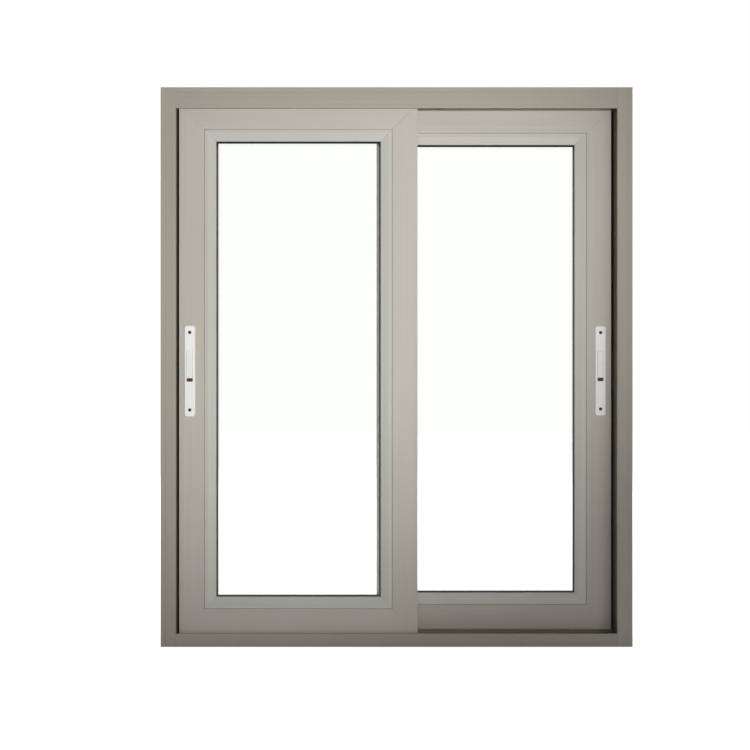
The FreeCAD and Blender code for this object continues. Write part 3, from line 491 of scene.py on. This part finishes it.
def points_object(
    name: str, places: list[Vector], edges: list[tuple[int, int]], facing: list[Vector]
) -> bpy.types.Object:
    """Makes a mesh of loose points or lines that a Geometry Nodes tree works from.

    Args:
        name: The object's name.
        places: The points.
        edges: Pairs of points joined by a line.
        facing: For each point, the direction in which what stands on it points.

    Returns:
        The object, with the directions in its attribute named facing.
    """
    mesh = bpy.data.meshes.new(name)
    mesh.from_pydata([tuple(p) for p in places], edges, [])
    attribute = mesh.attributes.new("facing", "FLOAT_VECTOR", "POINT")
    for index, direction in enumerate(facing):
        attribute.data[index].vector = direction
    made = bpy.data.objects.new(name, mesh)
    bpy.context.scene.collection.objects.link(made)
    return made


def tree_with(
    name: str, sizes: dict[str, float]
) -> tuple[bpy.types.NodeTree, bpy.types.Node, dict[str, str]]:
    """Starts a Geometry Nodes tree with named sizes.

    Args:
        name: The tree's name.
        sizes: The inputs besides the geometry, with their values.

    Returns:
        The tree, its input node and each input's identifier by name.
    """
    tree = bpy.data.node_groups.new(name, "GeometryNodeTree")
    tree.interface.new_socket("Geometry", in_out="INPUT", socket_type="NodeSocketGeometry")
    identifiers = {}
    for label, value in sizes.items():
        socket = tree.interface.new_socket(label, in_out="INPUT", socket_type="NodeSocketFloat")
        socket.default_value = value
        identifiers[label] = socket.identifier
    tree.interface.new_socket("Geometry", in_out="OUTPUT", socket_type="NodeSocketGeometry")
    return tree, add_node(tree, "NodeGroupInput"), identifiers


def facing_of(tree: bpy.types.NodeTree) -> tuple[bpy.types.NodeSocket, bpy.types.NodeSocket]:
    """Reads in a tree the directions that points_object stored.

    Args:
        tree: The Geometry Nodes tree.

    Returns:
        Each point's direction, and the rotation that turns the Z axis to it.
    """
    stored = add_node(tree, "GeometryNodeInputNamedAttribute", {"Name": "facing"}, data_type="FLOAT_VECTOR")
    turn = add_node(tree, "FunctionNodeAlignRotationToVector", {"Vector": stored.outputs[0]}, axis="Z")
    return stored.outputs[0], turn.outputs[0]


def close_tree(
    tree: bpy.types.NodeTree, geometry: bpy.types.NodeSocket, material: bpy.types.Material
) -> None:
    """Ends a Geometry Nodes tree in real geometry with its material.

    Args:
        tree: The tree.
        geometry: The last node's output.
        material: What the result shows.
    """
    real = add_node(tree, "GeometryNodeRealizeInstances", {"Geometry": geometry})
    painted = add_node(tree, "GeometryNodeSetMaterial", {
        "Geometry": real.outputs[0], "Material": material})
    add_node(tree, "NodeGroupOutput", {"Geometry": painted.outputs[0]})


def run_tree(
    source: bpy.types.Object, tree: bpy.types.NodeTree, identifiers: dict[str, str],
    sizes: dict[str, float], name: str,
) -> bpy.types.Object:
    """Runs a tree on an object, with the sizes set before it is first evaluated.

    Args:
        source: The points or lines to work from.
        tree: The Geometry Nodes tree.
        identifiers: Each input's identifier by name.
        sizes: Each input's value by name.
        name: The finished piece's name.

    Returns:
        The finished piece as a plain mesh object.
    """
    modifier = source.modifiers.new("make", "NODES")
    modifier.node_group = tree
    for label, value in sizes.items():
        modifier[identifiers[label]] = value
    return bake(source, name)


# Sub-assemblies


@dataclass
class OuterFrame:
    """The fixed frame: head, sill, jambs, keepers and what guides the sashes from above."""

    colours: tuple[str, str] = FRAME_COAT
    head: str = "frame_head"
    sill: str = "frame_sill"
    jambs: tuple[str, str] = ("frame_jamb_left", "frame_jamb_right")
    channel_half_mm: float = 454.5

    def dress(self) -> None:
        """Dresses the frame's nodes."""
        across = PowderCoat("frame_coat_across", *self.colours, Run.ACROSS).material()
        # The uprights carry painted shade on their channel walls.
        upright = PowderCoat(
            "frame_coat_upright_painted_shade", *self.colours, Run.UPRIGHT,
            shaded_half_mm=self.channel_half_mm).material()
        for node in (self.head, self.sill):
            dress(node, across)
        for node in self.jambs:
            dress(node, upright)
        # The keepers' dark steel is partly painted shade for the gap in which they sit.
        dress("lock_keepers", BLACK_STEEL.material())
        dress("anti_lift_blocks", NYLON.material())


@dataclass
class SlidingSash:
    """One sash: its coated profiles and beads, gaskets, panes and the bar between them."""

    place: SashPlace
    colours: tuple[str, str] = SASH_COAT
    bead_colours: tuple[str, str] = BEAD_COAT
    bead_roughness: float = 0.42
    bead_shine: float = 0.5
    bar_width: float = 7.0 * MM
    perforation_pitch: float = 5.0 * MM
    perforation_radius: float = 0.55 * MM
    perforation_sides: int = 8
    perforation_lift: float = 0.05 * MM
    row_spacing: float = 3.0 * MM

    def dress(self) -> None:
        """Dresses the sash's nodes."""
        name = self.place.value
        across = PowderCoat(name + "_coat_across", *self.colours, Run.ACROSS).material()
        upright = PowderCoat(name + "_coat_upright", *self.colours, Run.UPRIGHT).material()
        dress(name + "_top_rail", across)
        dress(name + "_bottom_rail", across)
        dress(name + "_lock_stile", upright)
        dress(name + "_meeting_stile", upright)
        for run, labels in BEAD_RUNS.items():
            bead = PowderCoat(
                name + "_bead_" + run.name.lower(), *self.bead_colours, run,
                roughness=self.bead_roughness, shine=self.bead_shine).material()
            for label in labels:
                dress(name + "_" + label, bead)
        rubber = GASKET_RUBBER.material()
        dress(name + "_inner_gasket", rubber)
        dress(name + "_outer_gasket", rubber)
        dress(name + "_glass_spacer", SPACER_ALUMINIUM.material())
        dress(name + "_glass", FloatGlass().material())

    def perforations(self) -> None:
        """Makes the two rows of small holes along the bar between the panes, as flat discs painted with the
        holes' shade.
        """
        low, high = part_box(self.place.value + "_glass_spacer")
        reach = self.bar_width + self.perforation_lift
        left, right = low.x + reach, high.x - reach
        bottom, top = low.z + reach, high.z - reach
        middle = (low.y + high.y) / 2
        places, edges, facing = [], [], []
        inwards = (Vector((0, 0, 1)), Vector((-1, 0, 0)), Vector((0, 0, -1)), Vector((1, 0, 0)))
        corners = ((left, bottom), (right, bottom), (right, top), (left, top))
        for row in (-0.5, 0.5):
            y = middle + row * self.row_spacing
            for index, inward in enumerate(inwards):
                start, end = corners[index], corners[(index + 1) % 4]
                places += [Vector((start[0], y, start[1])), Vector((end[0], y, end[1]))]
                facing += [inward, inward]
                edges.append((len(places) - 2, len(places) - 1))
        source = points_object(self.place.value + "_bar_lines", places, edges, facing)
        sizes = {"Pitch": self.perforation_pitch, "Radius": self.perforation_radius}
        tree, given, identifiers = tree_with("bar_perforations", sizes)
        lines = add_node(tree, "GeometryNodeMeshToCurve", {"Mesh": given.outputs["Geometry"]})
        spread = add_node(tree, "GeometryNodeResampleCurve", {
            "Curve": lines.outputs[0], "Length": given.outputs["Pitch"]}, mode="LENGTH")
        _, turn = facing_of(tree)
        dot = add_node(tree, "GeometryNodeMeshCircle", {
            "Vertices": self.perforation_sides, "Radius": given.outputs["Radius"]}, fill_type="NGON")
        dots = add_node(tree, "GeometryNodeInstanceOnPoints", {
            "Points": spread.outputs[0], "Instance": dot.outputs[0], "Rotation": turn})
        close_tree(tree, dots.outputs[0], HOLE_SHADE.material())
        piece = run_tree(source, tree, identifiers, sizes, self.place.value + "_bar_perforations")
        settle(piece)


@dataclass
class SlideLocks:
    """The flush slide locks: plates, sliders and the tabs under them."""

    def dress(self) -> None:
        """Dresses the locks' nodes."""
        enamel, acetal = PLATE_ENAMEL.material(), SLIDER_ACETAL.material()
        for place in SashPlace:
            dress(place.value + "_lock_plate", enamel)
            dress(place.value + "_lock_slider", acetal)
        dress("lock_indicators", TAB_PLASTIC.material())


@dataclass
class RunningGear:
    """What carries the sashes and the glass: rollers, their housings, blocks and corner cleats."""

    def dress(self) -> None:
        """Dresses the running gear's nodes."""
        dress("roller_wheels", NYLON.material())
        dress("roller_housings", ZINC_STEEL.material())
        dress("setting_blocks", BLOCK_RUBBER.material())
        dress("corner_cleats", MILL_ALUMINIUM.material())


@dataclass
class BrushSeals:
    """Pile seals: a woven backing with rows of tufts, in place of the frame's plain strips."""

    node: str = "pile_seals"
    backing: float = 1.0 * MM
    tuft_pitch: float = 2.2 * MM
    tuft_radius: float = 0.55 * MM
    tuft_tip: float = 0.25 * MM
    tuft_sides: int = 4
    tuft_reach_share: float = 0.94
    tuft_rows: int = 2
    row_spacing: float = 1.2 * MM
    lean: float = 0.16
    twist: float = 3.0
    same_level: float = 0.02 * MM

    def strips(self) -> tuple[list[Vector], list[tuple[int, int]], list[Vector], float, float]:
        """Reads from the frame where each strip lies and which way it points.

        Returns:
            The ends of each strip's middle line on its seat, the pairs of ends, the direction of
            the tufts at each end, the backing's width and the strips' least reach.
        """
        places, edges, facing = [], [], []
        widths, reaches = [], []
        for points in solids_of(self.node):
            low, high = bounds_of(points)
            size = high - low
            along = 0 if size.x > size.z else 2
            across = 2 - along
            spans = []
            for depth in (low.y, high.y):
                level = [p[across] for p in points if abs(p.y - depth) < self.same_level]
                spans.append(max(level) - min(level))
            out = 1.0 if spans[0] > spans[1] else -1.0
            seat = low.y if out > 0 else high.y
            middle = (low[across] + high[across]) / 2
            for end in (low[along], high[along]):
                place = Vector((0.0, seat, 0.0))
                place[along], place[across] = end, middle
                places.append(place)
                facing.append(Vector((0.0, out, 0.0)))
            edges.append((len(places) - 2, len(places) - 1))
            widths.append(max(spans))
            reaches.append(size.y)
        return places, edges, facing, min(widths), min(reaches)

    def build(self) -> None:
        """Makes all the brushes as one piece."""
        places, edges, facing, width, reach = self.strips()
        source = points_object("brush_lines", places, edges, facing)
        sizes = {
            "Pitch": self.tuft_pitch, "Tuft Radius": self.tuft_radius, "Reach": reach,
            "Backing Width": width, "Backing Height": self.backing, "Row Spacing": self.row_spacing,
        }
        tree, given, identifiers = tree_with("brush_strips", sizes)
        lines = add_node(tree, "GeometryNodeMeshToCurve", {"Mesh": given.outputs["Geometry"]})
        outwards, turn = facing_of(tree)
        half = add_node(tree, "ShaderNodeMath", {
            0: given.outputs["Backing Height"], 1: 0.5}, operation="MULTIPLY")
        lift = add_node(tree, "ShaderNodeVectorMath", {
            0: outwards, "Scale": half.outputs[0]}, operation="SCALE")
        spread = add_node(tree, "GeometryNodeResampleCurve", {
            "Curve": lines.outputs[0], "Length": given.outputs["Pitch"]}, mode="LENGTH")
        tuft = add_node(tree, "GeometryNodeMeshCone", {
            "Vertices": self.tuft_sides, "Radius Bottom": given.outputs["Tuft Radius"],
            "Radius Top": self.tuft_tip, "Depth": given.outputs["Reach"]})
        lean = add_node(tree, "FunctionNodeRandomValue", {
            0: (-self.lean, -self.lean, 0.0), 1: (self.lean, self.lean, self.twist), "Seed": SEED},
            data_type="FLOAT_VECTOR")
        tilt = add_node(tree, "FunctionNodeEulerToRotation", {0: lean.outputs[0]})
        turned = add_node(tree, "FunctionNodeRotateRotation", {
            0: turn, 1: tilt.outputs[0]}, rotation_space="LOCAL")
        direction = add_node(tree, "GeometryNodeInputTangent")
        sideways = add_node(tree, "ShaderNodeVectorMath", {
            0: direction.outputs[0], 1: outwards}, operation="CROSS_PRODUCT")
        rows = []
        for row in range(self.tuft_rows):
            share = add_node(tree, "ShaderNodeMath", {
                0: given.outputs["Row Spacing"], 1: row - (self.tuft_rows - 1) / 2}, operation="MULTIPLY")
            aside = add_node(tree, "ShaderNodeVectorMath", {
                0: sideways.outputs[0], "Scale": share.outputs[0]}, operation="SCALE")
            moved = add_node(tree, "GeometryNodeSetPosition", {
                "Geometry": spread.outputs[0], "Offset": aside.outputs[0]})
            rows.append(add_node(tree, "GeometryNodeInstanceOnPoints", {
                "Points": moved.outputs[0], "Instance": tuft.outputs[0], "Rotation": turned.outputs[0],
                "Scale": (1.0, 1.0, self.tuft_reach_share)}))
        raised = add_node(tree, "GeometryNodeSetPosition", {
            "Geometry": lines.outputs[0], "Offset": lift.outputs[0]})
        upward = add_node(tree, "GeometryNodeSetCurveNormal", {
            "Curve": raised.outputs[0], "Normal": outwards}, mode="FREE")
        profile = add_node(tree, "GeometryNodeCurvePrimitiveQuadrilateral", {
            "Width": given.outputs["Backing Width"], "Height": given.outputs["Backing Height"]})
        backing = add_node(tree, "GeometryNodeCurveToMesh", {
            "Curve": upward.outputs[0], "Profile Curve": profile.outputs[0], "Fill Caps": True})
        joined = add_node(tree, "GeometryNodeJoinGeometry")
        for made in [*rows, backing]:
            tree.links.new(made.outputs[0], joined.inputs[0])
        close_tree(tree, joined.outputs[0], PILE_FIBRE.material())
        piece = run_tree(source, tree, identifiers, sizes, "brush_seals")
        settle(piece, (self.node,))


@dataclass(frozen=True)
class ScrewShape:
    """The sizes that the screws of a set share."""

    head_radius: float
    head_height: float
    shank_radius: float
    length: float


@dataclass
class ScrewSet:
    """Screws with a cross recess, in place of the frame's plain ones.

    `dome` gives a round head's outline from the top down, each corner as a share of the head's
    radius and of its height.
    """

    node: str
    name: str
    countersunk: bool
    finish: GrainedSurface
    recess_share: float = 1.25
    recess_width_share: float = 0.28
    recess_depth_share: float = 0.62
    rim_share: float = 0.12
    dome: tuple[tuple[float, float], ...] = ((0.45, 0.0), (0.75, 0.12), (0.93, 0.4), (1.0, 0.75), (1.0, 1.0))
    tip_share: float = 0.3
    steps: int = 28
    spin: float = 1.5
    same_level: float = 0.05 * MM
    weld: float = 0.002 * MM

    def places(self) -> tuple[list[Vector], list[Vector], ScrewShape]:
        """Reads from the frame where each screw's head is and how large it is.

        Returns:
            The middle of each head's outer face, the direction that it faces, and the sizes.
        """
        tops, facing = [], []
        for points in solids_of(self.node):
            low, high = bounds_of(points)
            size = high - low
            axis = max(range(3), key=lambda i: size[i])
            centre = (low + high) / 2
            ends = [
                max(off_axis(p, centre, axis) for p in points if abs(p[axis] - level) < self.same_level)
                for level in (low[axis], high[axis])]
            out = -1.0 if ends[0] > ends[1] else 1.0
            top = centre.copy()
            top[axis] = low[axis] if out < 0 else high[axis]
            direction = Vector((0.0, 0.0, 0.0))
            direction[axis] = out
            tops.append(top)
            facing.append(direction)
            shank_radius = min(ends)
            head_radius = max(size[i] for i in range(3) if i != axis) / 2
            head_height = max(
                abs(p[axis] - top[axis]) for p in points
                if off_axis(p, centre, axis) > shank_radius + self.same_level)
            if self.countersunk:
                head_height = head_radius - shank_radius
            shape = ScrewShape(head_radius, head_height, shank_radius, size[axis])
        return tops, facing, shape

    def blank(self, shape: ScrewShape) -> bpy.types.Object:
        """Turns the screw without its recess, head up, its top at the origin.

        Args:
            shape: The screw's sizes.

        Returns:
            The blank, which is in no scene.
        """
        wide, high, narrow = shape.head_radius, shape.head_height, shape.shank_radius
        rim = self.rim_share * high
        if self.countersunk:
            outline = [(wide - rim, 0.0), (wide, -rim / 2), (narrow, -high)]
        else:
            outline = [(across * wide, -down * high) for across, down in self.dome]
            outline.append((narrow, -high))
        outline += [(narrow, narrow - shape.length), (self.tip_share * narrow, -shape.length)]
        work = bmesh.new()
        corners = [work.verts.new((r, 0.0, z)) for r, z in [(0.0, 0.0), *outline, (0.0, -shape.length)]]
        edges = [work.edges.new(pair) for pair in zip(corners, corners[1:])]
        bmesh.ops.spin(work, geom=corners + edges, cent=(0, 0, 0), axis=(0, 0, 1),
                       angle=math.tau, steps=self.steps, use_duplicate=False)
        bmesh.ops.remove_doubles(work, verts=work.verts, dist=self.weld)
        bmesh.ops.recalc_face_normals(work, faces=work.faces)
        mesh = bpy.data.meshes.new(self.name + "_blank")
        work.to_mesh(mesh)
        work.free()
        return bpy.data.objects.new(self.name + "_blank", mesh)

    def build(self) -> None:
        """Makes the screws as one piece."""
        tops, facing, shape = self.places()
        blank = self.blank(shape)
        source = points_object(self.name + "_points", tops, [], facing)
        sizes = {
            "Recess Length": shape.head_radius * self.recess_share,
            "Recess Width": shape.head_radius * self.recess_width_share,
            "Recess Depth": shape.head_height * self.recess_depth_share,
        }
        tree, given, identifiers = tree_with(self.name + "_tree", sizes)
        body = add_node(tree, "GeometryNodeObjectInfo", {"Object": blank})
        twice = add_node(tree, "ShaderNodeMath", {
            0: given.outputs["Recess Depth"], 1: 2.0}, operation="MULTIPLY")
        long_way = add_node(tree, "ShaderNodeCombineXYZ", {
            0: given.outputs["Recess Length"], 1: given.outputs["Recess Width"], 2: twice.outputs[0]})
        short_way = add_node(tree, "ShaderNodeCombineXYZ", {
            0: given.outputs["Recess Width"], 1: given.outputs["Recess Length"], 2: twice.outputs[0]})
        cut = add_node(tree, "GeometryNodeMeshBoolean", {
            0: body.outputs["Geometry"]}, operation="DIFFERENCE")
        for way in (long_way, short_way):
            arm = add_node(tree, "GeometryNodeMeshCube", {"Size": way.outputs[0]})
            tree.links.new(arm.outputs[0], cut.inputs[1])
        _, turn = facing_of(tree)
        spin = add_node(tree, "FunctionNodeRandomValue", {
            0: (0.0, 0.0, 0.0), 1: (0.0, 0.0, self.spin), "Seed": SEED}, data_type="FLOAT_VECTOR")
        spun = add_node(tree, "FunctionNodeEulerToRotation", {0: spin.outputs[0]})
        turned = add_node(tree, "FunctionNodeRotateRotation", {
            0: turn, 1: spun.outputs[0]}, rotation_space="LOCAL")
        screws = add_node(tree, "GeometryNodeInstanceOnPoints", {
            "Points": given.outputs["Geometry"], "Instance": cut.outputs[0], "Rotation": turned.outputs[0]})
        close_tree(tree, screws.outputs[0], self.finish.material())
        piece = run_tree(source, tree, identifiers, sizes, self.name)
        bpy.data.objects.remove(blank)
        settle(piece, (self.node,))


@dataclass
class Studio:
    """The plain floor, the white surround, the lamps and the camera.

    `floor_glow` is the floor's own light at the nearer and the further end of `floor_reach`.
    """

    camera_place: Place = (0.045, -2.394, 0.610)
    camera_lens: float = 54.9
    camera_sensor: float = 36.0
    camera_shift: tuple[float, float] = (-0.058, -0.0333)
    floor_half: float = 6.0
    floor_colours: tuple[str, str] = ("#A8A8A8", "#B0B0B0")
    floor_mottle_mm: float = 300.0
    floor_glow: tuple[float, float] = (0.9, 1.0)
    floor_reach: tuple[float, float] = (0.7, 2.2)
    ambient: float = 0.03

    def floor(self) -> None:
        """Lays a pale floor that shows white and keeps the window's shadow."""
        work = bmesh.new()
        bmesh.ops.create_grid(work, x_segments=2, y_segments=2, size=self.floor_half)
        mesh = bpy.data.meshes.new("floor")
        work.to_mesh(mesh)
        work.free()
        floor = bpy.data.objects.new("floor", mesh)
        bpy.context.scene.collection.objects.link(floor)
        material, tree = blank_material("pale_studio_floor")
        place = add_node(tree, "ShaderNodeTexCoord").outputs["Object"]
        mottle = add_node(tree, "ShaderNodeTexNoise", {
            "Vector": place, "Scale": per_metre(self.floor_mottle_mm)})
        darker, lighter = self.floor_colours
        colour = add_node(tree, "ShaderNodeMix", {
            0: mottle.outputs[0], 6: linear(darker), 7: linear(lighter)}, data_type="RGBA")
        matt = add_node(tree, "ShaderNodeBsdfDiffuse", {"Color": colour.outputs[2]})
        distance = add_node(tree, "ShaderNodeVectorMath", {0: place}, operation="LENGTH")
        glow_level = add_node(tree, "ShaderNodeMapRange", {
            "Value": distance.outputs["Value"],
            "From Min": self.floor_reach[0], "From Max": self.floor_reach[1],
            "To Min": self.floor_glow[0], "To Max": self.floor_glow[1]})
        strength = add_node(tree, "ShaderNodeMath", {
            0: seen_directly(tree), 1: glow_level.outputs[0]}, operation="MULTIPLY")
        glow = add_node(tree, "ShaderNodeEmission", {
            "Color": linear(WHITE), "Strength": strength.outputs[0]})
        both = add_node(tree, "ShaderNodeAddShader", {0: matt.outputs[0], 1: glow.outputs[0]})
        close_material(tree, both.outputs[0])
        mesh.materials.append(material)

    def surround(self) -> None:
        """Makes the world white to the camera and nearly dark to what it lights."""
        world = bpy.data.worlds.new("white_surround")
        bpy.context.scene.world = world
        world.use_nodes = True
        tree = world.node_tree
        tree.nodes.clear()
        strength = add_node(tree, "ShaderNodeMapRange", {
            "Value": seen_directly(tree), "To Min": self.ambient, "To Max": 1.0})
        light = add_node(tree, "ShaderNodeBackground", {
            "Color": linear(WHITE), "Strength": strength.outputs[0]})
        add_node(tree, "ShaderNodeOutputWorld", {"Surface": light.outputs[0]})

    def lamp(
        self, name: str, kind: str, place: Place, target: Place, power: float, **settings: object
    ) -> bpy.types.Object:
        """Hangs a lamp that only lights.

        Args:
            name: The lamp's name.
            kind: The lamp's type.
            place: Where it hangs.
            target: What it points at.
            power: Its power in watts.
            settings: Values of the lamp's own attributes.

        Returns:
            The lamp.
        """
        data = bpy.data.lights.new(name, kind)
        data.energy = power
        for label, value in settings.items():
            setattr(data, label, value)
        lamp = bpy.data.objects.new(name, data)
        lamp.location = place
        aim = Vector(target) - Vector(place)
        lamp.rotation_euler = aim.to_track_quat("-Z", "Y").to_euler()
        lamp.visible_camera = False
        lamp.visible_transmission = False
        bpy.context.scene.collection.objects.link(lamp)
        LOG.info("hung %s", name)
        return lamp

    def lamps(self) -> None:
        """Hangs the key lamp on the camera's right, two faint fills, and lamps over, behind and beside."""
        in_front = (
            self.lamp("key", "SPOT", (0.6, -2.4, 0.86), (-0.31, 0.0, 0.98), 200.0,
                      shadow_soft_size=0.08, spot_size=0.9, spot_blend=1.0),
            self.lamp("low", "AREA", (0.8, -1.6, 0.14), (0.4, 0.0, 0.25), 12.0, shape="DISK", size=1.4),
            self.lamp("left_fill", "AREA", (-2.3, -0.95, 0.8), (0.1, 0.0, 0.6), 4.0,
                      shape="DISK", size=1.2),
        )
        for lamp in in_front:
            lamp.visible_glossy = False
        self.lamp("over", "AREA", (0.0, 0.0, 3.0), (0.0, 0.0, 1.15), 14.0, shape="DISK", size=0.08)
        for side, label in ((-1, "left"), (1, "right")):
            self.lamp("rear_" + label, "AREA", (side * 1.6, 2.6, 1.5), (0.0, 0.0, 0.6), 45.0,
                      shape="DISK", size=1.6)
            self.lamp("side_" + label, "AREA", (side * 2.6, 0.1, 0.8), (side * 0.48, 0.0, 0.6), 14.0,
                      shape="DISK", size=0.4)

    def camera(self) -> None:
        """Sets the camera square to the window, with the photograph's framing as a shift."""
        data = bpy.data.cameras.new("camera")
        data.lens = self.camera_lens
        data.sensor_width = self.camera_sensor
        data.shift_x, data.shift_y = self.camera_shift
        camera = bpy.data.objects.new("camera", data)
        camera.location = self.camera_place
        camera.rotation_euler = (math.pi / 2, 0.0, 0.0)
        bpy.context.scene.collection.objects.link(camera)
        bpy.context.scene.camera = camera

    def build(self) -> None:
        """Builds the whole studio."""
        self.floor()
        self.surround()
        self.lamps()
        self.camera()
        bpy.context.scene.view_settings.view_transform = "Standard"


def main() -> None:
    """Dresses the window's sub-assemblies in order, builds the loose pieces and the studio."""
    logging.basicConfig(level=logging.INFO, format="%(message)s")
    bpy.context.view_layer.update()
    OuterFrame().dress()
    for place in SashPlace:
        sash = SlidingSash(place)
        sash.dress()
        sash.perforations()
    SlideLocks().dress()
    RunningGear().dress()
    BrushSeals().build()
    ScrewSet("lock_screws", "lock_plate_screws", True, BLACK_STEEL).build()
    ScrewSet("frame_corner_screws", "corner_joint_screws", False, ZINC_STEEL).build()
    Studio().build()


if __name__ == "__main__":
    main()
